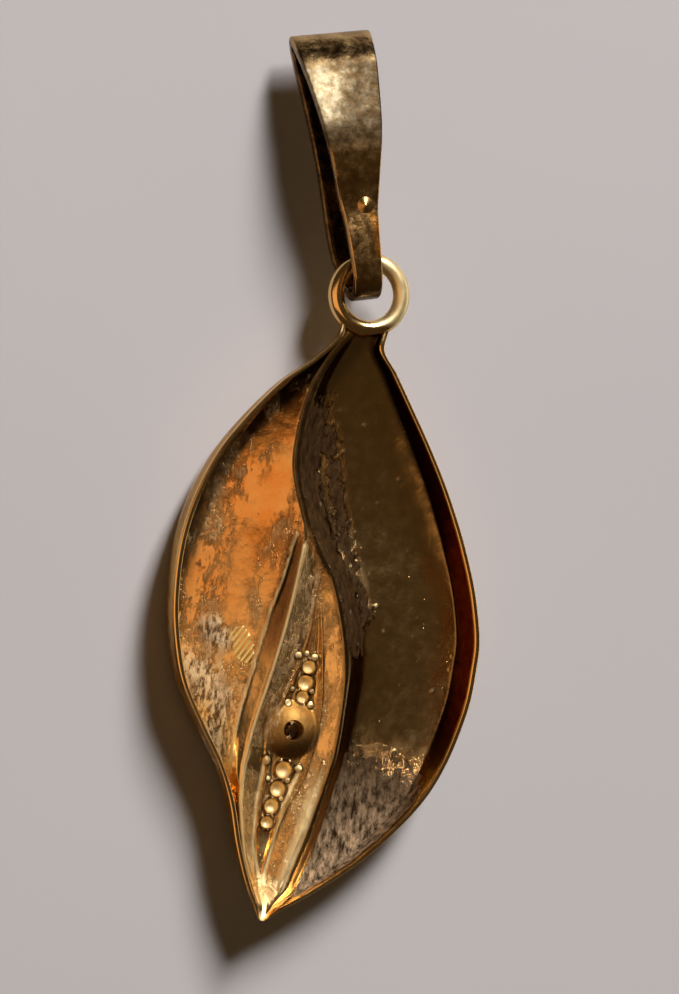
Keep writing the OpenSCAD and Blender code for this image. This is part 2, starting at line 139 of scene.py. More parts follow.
PANEL_DIP = 0.28
CREST_HOLD = 0.09
CREST_INSET = 0.12
CHANNEL_DEPTH, CHANNEL_LIP, CHANNEL_BORDER = 0.16, 0.07, 0.1
FULL_CHANNEL_HALF = 0.3
CHANNEL_FLOOR = np.linspace(-0.75, 0.75, 7)
NECK_DROP, NECK_DROP_LENGTH = 0.1, 0.7

# The front: wall, its share where the leaf is narrowest, the width from which it has its full
# thickness, how far the panel's edges move in, and how far the feet of its slopes follow them
SHELL_WALL, THINNEST_SHARE, FULL_WALL_WIDTH = 0.4, 0.35, 3.0
FRONT_SHIFT, FRONT_EASE = 0.2, 0.4
OUTER_WALL_SHARE, OUTER_LEAN, FULL_ROUND_WALL = 0.38, 0.02, 0.2
BEAD_SINK, BEAD_WALL = 0.2, 0.2

# Where the leaf is narrow, its parts take at most these shares of the room that they have
RIM_SHARE, RIM_ROUND_SHARE = 0.18, 0.3
LEFT_WALL_SHARE, RIGHT_WALL_SHARE = 0.6, 0.3
SLOPE_SHARE, STEP_SHARE = 0.3, 0.7
BORDER_SHARE, CHANNEL_SHARE, SHIFT_SHARE = 0.1, 0.3, 0.1
HOLD_PANEL_SHARE, HOLD_SLOPE_SHARE = 0.15, 0.3

# Fine relief of the back: unevenness as width of its hills, height and place in the noise, the
# noise's dimension, step and octaves, then the thin ridges, the hollows with raised rims, and the grains
UNEVENNESS = [(1.5, 0.020, 3.1), (0.45, 0.008, 7.4)]
FRACTAL = 1.0, 2.0, 2
RIDGE_HEIGHT, RIDGE_WIDTH = 0.05, 0.12
HOLLOW_SHARE, HOLLOW_EDGE = 0.8, 0.2
LIP_HEIGHT, LIP_AT, LIP_WIDTH = 0.05, 1.18, 0.16
GRAIN_SHARE, GRAIN_EDGE = 0.75, 0.25

SETTING_X, SETTING_Y = 0.1, 6.82
SETTING_D = 2.1
SETTING_FOOT_Z, SETTING_SHOULDER_Z, SETTING_TOP_Z = -2.0, -0.95, -0.42
SETTING_DOME_H = SETTING_TOP_Z - SETTING_SHOULDER_Z
SETTING_DOME_R = ((SETTING_D / 2) ** 2 + SETTING_DOME_H**2) / (2 * SETTING_DOME_H)
DOME_BLEND = 0.05
DOME_FADE_FROM, DOME_FADE_TO = SETTING_D / 2 - 0.05, SETTING_D / 2 + 0.1
WINDOW_D = 0.7
STONE_D, STONE_GAP = 1.4, 0.04
GIRDLE_Z, GIRDLE_T = -1.74, 0.04
PAVILION = math.tan(math.radians(40.8))
SETTING_GRAIN_D, SETTING_GRAIN_INSET, SETTING_GRAINS = 0.3, 0.28, 6

# Edges of the setting: its front edge as (in from the side, up), the chamfer at the dome's foot, the
# wider mouth before the stone with its start and end above the front, and the hole's edge as (out, up)
FRONT_EDGE = [(0.1, 0), (0.03, 0.03), (0, 0.12)]
FOOT_CHAMFER = 0.06
MOUTH_WIDER, MOUTH_START, MOUTH_END = 0.12, -0.02, 0.1
HOLE_EDGE = [(0, -0.1), (0.05, -0.03), (0.3, 0.12)]

RING_D, RING_WIRE = 3.04, 0.6
RING_Y, RING_Z = 22.65, -0.28
RING_SIDES, WIRE_SIDES = 96, 24

# Gaps between the cross-sections, each up to a height: least at the tip, small along the beads
STATION_GAPS = [(1.4, 0.06), (10.2, 0.09), (math.inf, 0.14)]
LEAST_GAP = 0.02
ROUNDINGS = 2
OUTLINE_SAMPLES = 400

SHARP_LEAF_ANGLE = math.radians(38)

TIP_Y, NECK_Y = OUTLINE[0, 0], OUTLINE[-1, 0]
BIG_WALL = LEAF_DEPTH - DEPTHS[:, BIG_FLOOR].max()
SMALL_WALL = LEAF_DEPTH - DEPTHS[:, SMALL_FLOOR].max()


def at(table, column, y):
    """Smooth curve through one column of a table, whose first column is height."""
    t, n = table, len(table)
    i = int(np.clip(np.searchsorted(t[:, 0], y) - 1, 0, n - 2))

    def slope(k):
        a, b = max(k - 1, 0), min(k + 1, n - 1)
        if a < k < b and (t[b, column] - t[k, column]) * (t[k, column] - t[a, column]) <= 0:
            return 0.0
        return (t[b, column] - t[a, column]) / (t[b, 0] - t[a, 0])

    h = t[i + 1, 0] - t[i, 0]
    u = (y - t[i, 0]) / h
    return ((2 * u**3 - 3 * u**2 + 1) * t[i, column] + (u**3 - 2 * u**2 + u) * h * slope(i)
            + (3 * u**2 - 2 * u**3) * t[i + 1, column] + (u**3 - u**2) * h * slope(i + 1))


def mix(a, b, u):
    return a + (b - a) * u


def clamp(u, low=0.0, high=1.0):
    return min(max(u, low), high)


def smooth(u):
    return u * u * (3 - 2 * u)


def between(p, q, u):
    """The point at a share of the way from p to q."""
    return mix(p[0], q[0], u), mix(p[1], q[1], u)


def soft(u):
    """Array form of a smooth step from 0 to 1."""
    u = np.clip(u, 0, 1)
    return u * u * (3 - 2 * u)


def rise(value, start, run):
    """0 up to start, 1 from a run after it."""
    return soft((value - start) / run)


def fall(value, end, run):
    """1 until a run before the end, 0 from the end."""
    return soft((end - value) / run)


def band(value, start, run_up, end, run_down):
    """0 outside start and end, 1 between the two runs inside them."""
    return rise(value, start, run_up) * fall(value, end, run_down)


def cap(d):
    """Height of a ball of radius 1 at a distance from its middle."""
    return np.sqrt(np.clip(1 - d**2, 0, 1))


# Lines of (x, z) points that make up one cross-section of the shell

def wall_line(x0, rim_z, foot, side, room, n=6):
    """Inner wall from the rim at x0 to its foot, towards side = 1 or -1."""
    taper = WALL_TAPER * foot
    run = min(1, room / (taper + WALL_FILLET))
    points = [(x0, rim_z - min(RIM_ROUND, RIM_ROUND_SHARE * foot))]
    for i in range(1, n + 1):
        a = math.pi / 2 * i / n
        along, fillet = math.sin(a) ** WALL_POWER, 1 - max(math.cos(a), 0) ** WALL_POWER
        points.append((x0 + side * run * (taper * along + WALL_FILLET * fillet), mix(rim_z, -foot, along)))
    return points


def dish_line(p, q, depth, deepest, bend, n):
    """Floor between two points, dished to z = -depth at a share of the way. A bend of 2 makes it round."""
    points = []
    for i in range(1, n):
        u = i / n
        end = p if u < deepest else q
        away = (deepest - u) / deepest if u < deepest else (u - deepest) / (1 - deepest)
        points.append((mix(p[0], q[0], u), mix(-depth, end[1], away**bend)))
    return points


def step_line(p, q, n=6):
    """Soft step between two points."""
    return [(mix(p[0], q[0], i / n), mix(p[1], q[1], smooth(i / n))) for i in range(n + 1)]


def thirds(p, q):
    return [between(p, q, 1 / 3), between(p, q, 2 / 3)]


def channel_line(y, z, lip, depth):
    """Bead channel between its two raised borders."""
    s, panel = at(RELIEF, S_LINE, y), at(RELIEF, PANEL, y)
    border = min(CHANNEL_BORDER, BORDER_SHARE * panel)
    half = min(at(RELIEF, CHANNEL_HALF, y), CHANNEL_SHARE * panel)
    reach = half + 1.5 * border
    mid = clamp(at(RELIEF, CHANNEL, y), s - panel + reach, s - reach)
    share = clamp(half / FULL_CHANNEL_HALF)
    lip, z_floor = lip * share, z - depth * share
    return [(mid - half - border, z), (mid - half - border / 2, z + lip), (mid - half, z),
            *[(mid + u * half, z_floor) for u in CHANNEL_FLOOR],
            (mid + half, z), (mid + half + border / 2, z + lip), (mid + half + border, z)]


def shoulder_line(x, side, rim_z, top, foot, n=4):
    """Outer wall from the rim to the crown's edge."""
    points = [(x, rim_z - RIM_ROUND * min(1.0, -top / FULL_ROUND_WALL))]
    for i in range(n + 1):
        a = math.pi / 2 * i / n
        points.append((mix(x + side * OUTER_LEAN, foot[0], 1 - math.cos(a)), mix(top, foot[1], math.sin(a))))
    return points


def rim_height(y):
    return -NECK_DROP * smooth(clamp((y - NECK_Y) / NECK_DROP_LENGTH + 1))


def rim(y):
    return min(RIM_WIDTH, RIM_SHARE * (at(OUTLINE, RIGHT, y) - at(OUTLINE, LEFT, y)))


def openness(y):
    """How far the panel is open, from 0 where it is only the S-line to 1."""
    return clamp((at(RELIEF, PANEL, y) - NARROW_PANEL) / (WIDE_PANEL - NARROW_PANEL))


def panel_x(y):
    return at(RELIEF, S_LINE, y) - at(RELIEF, PANEL, y)


def panel_z(y):
    return -at(DEPTHS, PANEL_EDGE, y)


def channel_z(y):
    return panel_z(y) - PANEL_DIP * openness(y)


def small_room(y):
    return panel_x(y) - at(OUTLINE, LEFT, y) - rim(y)


def left_wall(y):
    foot = min(at(DEPTHS, WALL_FOOT, y), max(at(DEPTHS, SMALL_FLOOR, y), -panel_z(y)))
    room = LEFT_WALL_SHARE * small_room(y)
    return wall_line(at(OUTLINE, LEFT, y) + rim(y), rim_height(y), LEFT_FOOT_SHARE * foot, 1, room)


def right_wall(y):
    right = at(OUTLINE, RIGHT, y)
    room = RIGHT_WALL_SHARE * (right - at(RELIEF, S_LINE, y))
    return wall_line(right - rim(y), rim_height(y), at(DEPTHS, WALL_FOOT, y), -1, room)


def small_edge(y):
    """Right edge of the small lobe's floor."""
    room = small_room(y)
    lobe = openness(y) * clamp((room - NARROW_LOBE) / (WIDE_LOBE - NARROW_LOBE))
    x = panel_x(y) - min(SLOPE_RUN * lobe + LEAST_SLOPE_RUN, SLOPE_SHARE * room)
    return x, mix(panel_z(y), -SMALL_EDGE_SHARE * at(DEPTHS, SMALL_FLOOR, y), lobe)


def step_foot(y):
    """Foot of the step, on the left edge of the big lobe's floor."""
    s = at(RELIEF, S_LINE, y)
    x = min(s + at(RELIEF, STEP_RUN, y), mix(s, right_wall(y)[-1][0], STEP_SHARE))
    return x, -at(DEPTHS, STEP_FOOT, y)


def panel_line(y):
    """From the small lobe's edge over the crest and the bead channel to the S-line."""
    small, crest, s_crest = small_edge(y), (panel_x(y), panel_z(y)), (at(RELIEF, S_LINE, y), panel_z(y))
    channel = channel_line(y, channel_z(y), CHANNEL_LIP, CHANNEL_DEPTH)
    hold = min(CREST_HOLD, HOLD_PANEL_SHARE * at(RELIEF, PANEL, y), HOLD_SLOPE_SHARE * (crest[0] - small[0]))
    share = hold / max(math.dist(small, crest), 1e-6)
    crest_in = between(crest, channel[0], CREST_INSET)
    s_in = between(s_crest, channel[-1], CREST_INSET)
    return [small, between(small, crest, 1 / 3), between(crest, small, share), crest, crest_in,
            *thirds(crest_in, channel[0]), *channel, *thirds(channel[-1], s_in), s_in]


def back_line(y):
    """The back's control points from left to right."""
    left, right, top = at(OUTLINE, LEFT, y), at(OUTLINE, RIGHT, y), rim_height(y)
    left_side, right_side, step = left_wall(y), right_wall(y), step_foot(y)
    small_floor, big_floor = at(DEPTHS, SMALL_FLOOR, y), at(DEPTHS, BIG_FLOOR, y)
    return [(left, top), (left + rim(y), top), *left_side,
            *dish_line(left_side[-1], small_edge(y), small_floor, SMALL_DEEPEST, SMALL_BEND, n=9),
            *panel_line(y), *step_line((at(RELIEF, S_LINE, y), panel_z(y)), step),
            *dish_line(step, right_side[-1], big_floor, BIG_DEEPEST, BIG_BEND, n=13),
            *reversed(right_side), (right - rim(y), top), (right, top)]


def front_line(y):
    """The front's control points from right to left, a wall's thickness below the back."""
    left, right, top = at(OUTLINE, LEFT, y), at(OUTLINE, RIGHT, y), rim_height(y)
    thin = clamp((right - left) / FULL_WALL_WIDTH, THINNEST_SHARE, 1)
    wall = SHELL_WALL * thin
    shift = min(FRONT_SHIFT, SHIFT_SHARE * at(RELIEF, PANEL, y))
    small, step = small_edge(y), step_foot(y)
    panel_front = (panel_x(y) + shift, panel_z(y) - wall)
    s_front = (at(RELIEF, S_LINE, y) - shift, panel_z(y) - wall)
    small_front = (mix(small[0], panel_front[0], FRONT_EASE), small[1] - wall)
    step_front = (mix(step[0], s_front[0], FRONT_EASE), step[1] - wall)
    left_front, right_front = [(foot[0], foot[1] - wall) for foot in (left_wall(y)[-1], right_wall(y)[-1])]
    outer_top = -OUTER_WALL_SHARE * (at(DEPTHS, WALL_FOOT, y) + wall)
    small_depth = at(DEPTHS, SMALL_FLOOR, y) + SMALL_WALL * thin
    big_depth = at(DEPTHS, BIG_FLOOR, y) + BIG_WALL * thin
    return [*shoulder_line(right, -1, top, outer_top, right_front),
            *dish_line(right_front, step_front, big_depth, 1 - BIG_DEEPEST, BIG_BEND, n=9),
            *step_line(step_front, s_front, n=4),
            *reversed(channel_line(y, channel_z(y) - wall, 0, CHANNEL_DEPTH)), panel_front, small_front,
            *dish_line(small_front, left_front, small_depth, 1 - SMALL_DEEPEST, SMALL_BEND, n=6),
            *reversed(shoulder_line(left, 1, top, outer_top, left_front))]


def round_off(points):
    """Closed line with its corners cut, so that it turns into a smooth curve."""
    for _ in range(ROUNDINGS):
        after = np.roll(points, -1, axis=0)
        cut = np.empty((2 * len(points), points.shape[1]))
        cut[0::2] = 0.75 * points + 0.25 * after
        cut[1::2] = 0.25 * points + 0.75 * after
        points = cut
    return points


def channel_point(y):
    """Middle of the bead channel's floor before the channel sinks in."""
    line = channel_line(y, 0, 0, 0)
    return line[len(line) // 2][0], y, channel_z(y)


def hills(x, y, width, place):
    """Smooth noise from about -1 to 1 over two arrays of millimetres."""
    spots = [Vector((a / width, b / width, place)) for a, b in zip(x.flat, y.flat)]
    return np.array([noise.fractal(spot, *FRACTAL) for spot in spots]).reshape(x.shape)


def near(x, y, line, width):
    """1 on a line of (x, y) points, falling to 0 at a distance."""
    best = np.full(np.shape(x), np.inf)
    for (ax, ay), (bx, by) in zip(line, line[1:]):
        dx, dy = bx - ax, by - ay
        u = np.clip(((x - ax) * dx + (y - ay) * dy) / (dx * dx + dy * dy), 0, 1)
        best = np.minimum(best, np.hypot(x - ax - u * dx, y - ay - u * dy))
    return soft(1 - best / width)


def raise_back(x, y, z):
    """The back's own relief: cast unevenness, thin ridges, hollows of the beads, grains and the dome."""
    inside = fall(z, -0.2, 0.3)
    z = z + inside * sum(height * hills(x, y, width, place) for width, height, place in UNEVENNESS)
    for ridge in (EDGE_RIDGE, CREST_RIDGE, CHANNEL_RIDGE):
        z += RIDGE_HEIGHT * near(x, y, ridge, RIDGE_WIDTH)
    for _, bead_y, r in BEADS:
        cx, cy, _ = channel_point(bead_y)
        d = np.hypot(x - cx, y - cy) / r
        z -= HOLLOW_SHARE * r * cap(d) * fall(d, 1.0, HOLLOW_EDGE)
        z += LIP_HEIGHT * np.exp(-(((d - LIP_AT) / LIP_WIDTH) ** 2))
    for cx, cy, r in GRAINS:
        d = np.hypot(x - cx, y - cy) / r
        z += GRAIN_SHARE * r * cap(d) * fall(d, 1.0, GRAIN_EDGE)
    return raise_dome(x, y, z)


def raise_dome(x, y, z):
    """The setting's dome, blended into the panel where the two meet and at its edge."""
    d = np.hypot(x - SETTING_X, y - SETTING_Y)
    dome = SETTING_TOP_Z - SETTING_DOME_R + np.sqrt(np.clip(SETTING_DOME_R**2 - d**2, 0, None))
    top = 0.5 * (z + dome + np.sqrt((z - dome) ** 2 + DOME_BLEND**2))
    outside = rise(d, DOME_FADE_FROM, DOME_FADE_TO - DOME_FADE_FROM)
    return np.where(d < DOME_FADE_TO, mix(top, z, outside), z)


def raise_front(x, y, z):
    """The beads' round fronts, each a ball with a wall round its hollow."""
    for _, bead_y, hollow_r in BEADS:
        cx, cy, cz = channel_point(bead_y)
        r = hollow_r + BEAD_WALL
        d2 = (x - cx) ** 2 + (y - cy) ** 2
        bead = cz - BEAD_SINK - np.sqrt(np.clip(r**2 - d2, 0, None))
        z = np.where(d2 < r**2, np.minimum(z, bead), z)
    return z


def stations():
    """Heights of the cross-sections."""
    ys, y = [TIP_Y], TIP_Y
    while y < NECK_Y:
        gap = next(gap for limit, gap in STATION_GAPS if y < limit)
        y = min(y + gap, NECK_Y)
        ys.append(y)
    if ys[-1] - ys[-2] < LEAST_GAP:
        del ys[-2]
    return ys


box_lo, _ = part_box("leaf")
left_most = min(at(OUTLINE, LEFT, y) for y in np.linspace(TIP_Y, NECK_Y, OUTLINE_SAMPLES))
SHIFT = Vector((box_lo.x / MM - left_most, box_lo.y / MM - TIP_Y, box_lo.z / MM + LEAF_DEPTH))


def to_row(points):
    return (np.asarray(points) + np.array(SHIFT)) * MM


def new_mesh(name, points, faces):
    mesh = bpy.data.meshes.new(name)
    mesh.from_pydata([tuple(p) for p in points], [], faces)
    mesh.validate()
    mesh.shade_smooth()
    piece = bpy.data.objects.new(name, mesh)
    bpy.context.scene.collection.objects.link(piece)
    return piece


def tube_mesh(name, rings, closed, cap=False):
    """A skin over rings of points. closed joins the last ring to the first."""
    n, m = len(rings[0]), len(rings)
    faces = []
    for i in range(m if closed else m - 1):
        for j in range(n):
            a, b = i * n + j, i * n + (j + 1) % n
            c, d = (i + 1) % m * n + (j + 1) % n, (i + 1) % m * n + j
            faces.append((a, d, c, b))
    if cap:
        faces.append(tuple(range(n)))
        faces.append(tuple(reversed(range((m - 1) * n, m * n))))
    return new_mesh(name, np.concatenate(rings), faces)


def turns(n):
    """The angles of n equal steps round a circle."""
    return [2 * math.pi * i / n for i in range(n)]


def lathe(name, profile, centre, sides=64):
    """Revolves (radius, z) points about the vertical axis through centre; the ends lie on the axis."""
    cx, cy = centre
    points, faces = [], []
    for r, z in profile[1:-1]:
        for a in turns(sides):
            points.append((cx + r * math.cos(a), cy + r * math.sin(a), z))
    m = len(profile) - 2
    first, last = len(points), len(points) + 1
    points += [(cx, cy, profile[0][1]), (cx, cy, profile[-1][1])]
    for i in range(m - 1):
        for k in range(sides):
            j = (k + 1) % sides
            faces.append((i * sides + k, i * sides + j, (i + 1) * sides + j, (i + 1) * sides + k))
    for k in range(sides):
        j = (k + 1) % sides
        faces.append((first, j, k))
        faces.append((last, (m - 1) * sides + k, (m - 1) * sides + j))
    return new_mesh(name, to_row(points), faces)


def boolean(piece, other, operation):
    modifier = piece.modifiers.new("joint", "BOOLEAN")
    modifier.operation = operation
    modifier.object = other
    modifier.solver = "MANIFOLD"
    evaluated = piece.evaluated_get(bpy.context.evaluated_depsgraph_get())
    mesh = bpy.data.meshes.new_from_object(evaluated)
    piece.modifiers.clear()
    piece.data = mesh
    bpy.data.objects.remove(other)


def ball(name, centre, r, segments=20):
    arc = [2 * math.pi * i / segments for i in range(segments // 2 + 1)]
    return lathe(name, [(r * math.sin(a), centre[2] - r * math.cos(a)) for a in arc], centre[:2], segments)


def build_shell():
    rings = []
    for height in stations():
        back = back_line(height)
        ring = round_off(np.array([*back, *front_line(height)]))
        rings.append(np.column_stack([ring[:, 0], np.full(len(ring), height), ring[:, 1]]))
    grid = np.array(rings)
    x, y, z = grid[..., 0], grid[..., 1], grid[..., 2]
    # Each rounding has doubled the points, and the back's last two lie on the way to the front
    n_back = 2**ROUNDINGS * len(back) - 2
    z[:, :n_back] = raise_back(x[:, :n_back], y[:, :n_back], z[:, :n_back])
    z[:, n_back:] = raise_front(x[:, n_back:], y[:, n_back:], z[:, n_back:])
    return tube_mesh("leaf_cast", [to_row(ring[::-1]) for ring in grid], closed=False, cap=True)


def collar():
    """The setting's round body between the front and the foot of its dome."""
    r, foot, top = SETTING_D / 2, SETTING_FOOT_Z, SETTING_SHOULDER_Z
    profile = [(0, foot), *[(r - inwards, foot + up) for inwards, up in FRONT_EDGE],
               (r, top - FOOT_CHAMFER), (r - FOOT_CHAMFER, top), (0, top)]
    return lathe("collar", profile, (SETTING_X, SETTING_Y))


def window():
    """What is cut out of the setting: room for the stone, its conical seat and the hole behind it."""
    foot, top = SETTING_FOOT_Z, SETTING_TOP_Z
    seat_r, hole_r = STONE_D / 2 + STONE_GAP, WINDOW_D / 2
    seat_z, mouth_r, below = GIRDLE_Z + GIRDLE_T / 2, seat_r + MOUTH_WIDER, foot - 1
    profile = [(0, below), (mouth_r, below), (mouth_r, foot + MOUTH_START), (seat_r, foot + MOUTH_END),
               (seat_r, seat_z), (hole_r, seat_z + (seat_r - hole_r) * PAVILION),
               *[(hole_r + outwards, top + up) for outwards, up in HOLE_EDGE], (0, top + HOLE_EDGE[-1][1])]
    return lathe("window", profile, (SETTING_X, SETTING_Y))


def hoop():
    """The soldered ring."""
    wire_r = RING_WIRE / 2
    rings = []
    for a in turns(RING_SIDES):
        ring = []
        for b in turns(WIRE_SIDES):
            r = RING_D / 2 - wire_r + wire_r * math.cos(b)
            ring.append((r * math.cos(a), RING_Y + r * math.sin(a), RING_Z + wire_r * math.sin(b)))
        rings.append(to_row(ring))
    return tube_mesh("hoop", rings, closed=True)


def build_leaf():
    leaf = build_shell()
    boolean(leaf, collar(), "UNION")
    r = SETTING_D / 2 - SETTING_GRAIN_INSET
    for a in turns(SETTING_GRAINS):
        spot = (SETTING_X + r * math.cos(a), SETTING_Y + r * math.sin(a), SETTING_FOOT_Z)
        boolean(leaf, ball("grain", spot, SETTING_GRAIN_D / 2), "UNION")
    boolean(leaf, hoop(), "UNION")
    boolean(leaf, window(), "DIFFERENCE")
    leaf.data.shade_smooth()
    leaf.data.set_sharp_from_angle(angle=SHARP_LEAF_ANGLE)
    return leaf


# The bail's half widths: distance from the loop's end, back leg, front leg
BAIL_OUTLINE = np.array([
    [0.0, 0.51, 0.51], [0.5, 0.51, 0.53], [1.0, 0.53, 0.68], [1.7, 0.56, 0.86],
    [2.9, 0.63, 0.94], [3.7, 0.74, 0.95], [4.7, 0.87, 0.98], [6.0, 1.06, 1.08],
    [7.5, 1.25, 1.25], [8.5, 1.38, 1.38], [9.9, 1.52, 1.52],
])
BACK_LEG, FRONT_LEG = 1, 2

# Side of the folded strip from the loop's underside around the fold to its top: distance from the
# loop's end, height above the floor
BAIL_SIDE = [
    (1.9, 1.12), (2.7, 1.10), (3.6, 1.06), (4.5, 1.03), (5.5, 1.01), (6.5, 1.00), (7.5, 0.98),
    (8.4, 0.96), (9.1, 0.96), (9.56, 1.06), (9.76, 1.30), (9.68, 1.54), (9.42, 1.80), (9.1, 2.04),
    (8.7, 2.29), (8.3, 2.48), (7.7, 2.70), (7.0, 2.92), (6.4, 3.07), (5.8, 3.14), (5.2, 3.12),
    (4.5, 3.02), (3.9, 2.88), (3.4, 2.81), (2.9, 2.86), (2.4, 2.92), (1.9, 2.94),
]
BAIL_LENGTH, STRIP_T, LOOP_D, BAIL_LEAN = 9.7, 0.35, 1.82, 17.0
LOOP_X, LOOP_Y, LOOP_Z = -0.13, 22.42, 2.03
LOOP_STEPS = 10
LEGS_PART_Z = 1.85
STRIP_ROUND, STRIP_ROUND_STEPS, STRIP_FACE_STEPS = 0.07, 3, 8
BAIL_UNEVENNESS, BAIL_HILLS_PER_MM = 0.012, Vector((1.2, 0.9, 2))
SHARP_BAIL_ANGLE = math.radians(50)
BAIL_TURN = Matrix.Rotation(math.radians(BAIL_LEAN), 4, "Z")
BAIL_PLACE = Matrix.Translation((LOOP_X, LOOP_Y, -LEAF_DEPTH)) @ BAIL_TURN

# A small raised nick on the upper face: place in the bail's own frame, radius, height
NICK_SPOT = Vector((0.2, 3.35, 2.81))
NICK_R, NICK_HEIGHT = 0.3, 0.1


def bail_path():
    """Middle line of the folded strip, seen from its side: (distance from the loop's end, height)."""
    r = LOOP_D / 2
    loop = [(r - r * math.sin(a), LOOP_Z + r * math.cos(a)) for a in np.linspace(0, math.pi, LOOP_STEPS + 1)]
    outside = round_off(np.array(BAIL_SIDE + loop))
    outside[:, 0] *= BAIL_LENGTH / outside[:, 0].max()
    return outside - STRIP_T / 2 * turned(direction(outside))


def direction(path):
    along = np.roll(path, -1, axis=0) - np.roll(path, 1, axis=0)
    return along / np.hypot(along[:, 0], along[:, 1])[:, None]


def turned(along):
    """Quarter turn to the right: from the path's direction to the outside of the fold."""
    return np.column_stack([along[:, 1], -along[:, 0]])


def strip_outline():
    """Rounded oblong: share of the half width, offset in from the edge, offset from the middle line."""
    spots = []
    for side_w, side_t, first in ((1, 1, 0), (-1, 1, 90), (-1, -1, 180), (1, -1, 270)):
        for k in range(STRIP_ROUND_STEPS + 1):
            a = math.radians(first + 90 * k / STRIP_ROUND_STEPS)
            off = side_t * (STRIP_T / 2 - STRIP_ROUND) + STRIP_ROUND * math.sin(a)
            spots.append((side_w, side_w * STRIP_ROUND * (abs(math.cos(a)) - 1), off))
        if side_w == side_t:
            for k in range(1, STRIP_FACE_STEPS):
                spots.append((side_w * (1 - 2 * k / STRIP_FACE_STEPS), 0, side_t * STRIP_T / 2))
    return spots


def build_bail():
    path = bail_path()
    outline = strip_outline()
    rings, spots = [], []
    for (s, h), (ds, dh) in zip(path, direction(path)):
        half = at(BAIL_OUTLINE, FRONT_LEG if h < LEGS_PART_Z else BACK_LEG, s)
        ring = []
        for share, inwards, off in reversed(outline):
            x = share * half + inwards
            spots.append((x, s, h, off))
            off += BAIL_UNEVENNESS * noise.noise(Vector((x, s, h)) * BAIL_HILLS_PER_MM)
            ring.append(BAIL_PLACE @ Vector((x, s + off * dh, h - off * ds)))
        rings.append(to_row([tuple(p) for p in ring]))
    bail = tube_mesh("bail_strip", rings, closed=True)
    bail.data.set_sharp_from_angle(angle=SHARP_BAIL_ANGLE)
    paint_bail(bail, *np.array(spots).T)
    return bail


# Masks of the looks, one value from 0 to 1 for each point of a piece, with places and runs in millimetres

def paint(piece, name, values):
    layer = piece.data.attributes.new(name, "FLOAT", "POINT")
    layer.data.foreach_set("value", np.asarray(np.clip(values, 0, 1), np.float32))


# The bail's orange reflections, as lines of points across and along it
LOW_ORANGE = [(0.42, 3.0), (0.50, 2.4), (0.44, 1.6)]
SIDE_ORANGE = [(1.4, 6.6), (1.2, 5.0), (0.9, 4.2)]


def paint_bail(bail, x, s, h, off):
    """The bail's masks, from places across it, along it, above the floor and off its middle line."""
    outer = off > 0
    front_leg = h <= LEGS_PART_Z
    back_leg = ~front_leg & outer
    # lit: the zone of painted highlight on the back leg, where the key light falls; its colour is paler and
    # smudged
    lit = back_leg * band(s, 5.2, 0.5, 8.75, 0.5)
    shade_right = rise(x + 0.35 * (7.6 - s), -0.65, 1.0)
    shade_below = fall(s - 0.35 * (x + 1), 6.5, 0.6)
    shade_ends = back_leg * (band(s, 8.1, 0.5, 9.4, 0.25) + fall(s, 0.6, 0.3))
    paint(bail, "lit", lit)
    paint(bail, "orange", back_leg * near(x, s, LOW_ORANGE, 0.22) + near(x, s, SIDE_ORANGE, 0.18))
    # Painted shade: the fold's ends, the right and lower parts of the lit zone, the inside of the fold and
    # the front leg
    painted_shade = shade_ends + lit * np.maximum(shade_right, shade_below) + 0.75 * ~outer + 0.45 * front_leg
    paint(bail, "painted_shade", painted_shade)
    # Painted shade, brown: the fold's end and the back leg below the lit zone
    paint(bail, "brown_shade", back_leg * (rise(s, 9.0, 0.3) + fall(s, 6.3, 0.8)))


# Places in the leaf's looks, as lines of (x, y) points
SHOULDER = [(-0.3, 17.6), (0.55, 15.3), (1.35, 13.2), (2.3, 11.4)]
ROUGH_SPOT = [(-3.35, 9.9), (-2.95, 9.5)]
ROUGH_LOW = [(-3.5, 8.4), (-2.7, 7.2), (-2.5, 5.6)]
CLEAN_PART = [(-1.6, 17.2), (-2.0, 15.5), (-2.5, 14.0), (-2.68, 12.6), (-2.7, 10.6)]
STROKES = [(-2.32, 9.75), (-2.1, 9.2)]
LEFT_BORDER = [(-0.73, 5.6), (-0.76, 4.1), (-0.62, 2.6), (-0.2, 1.5)]
RIGHT_BORDER = [(0.67, 5.4), (0.27, 3.95), (0.04, 2.3), (-0.06, 1.25)]
POLISHED_TIP = [(0.02, 0.0), (0.03, 0.15)]


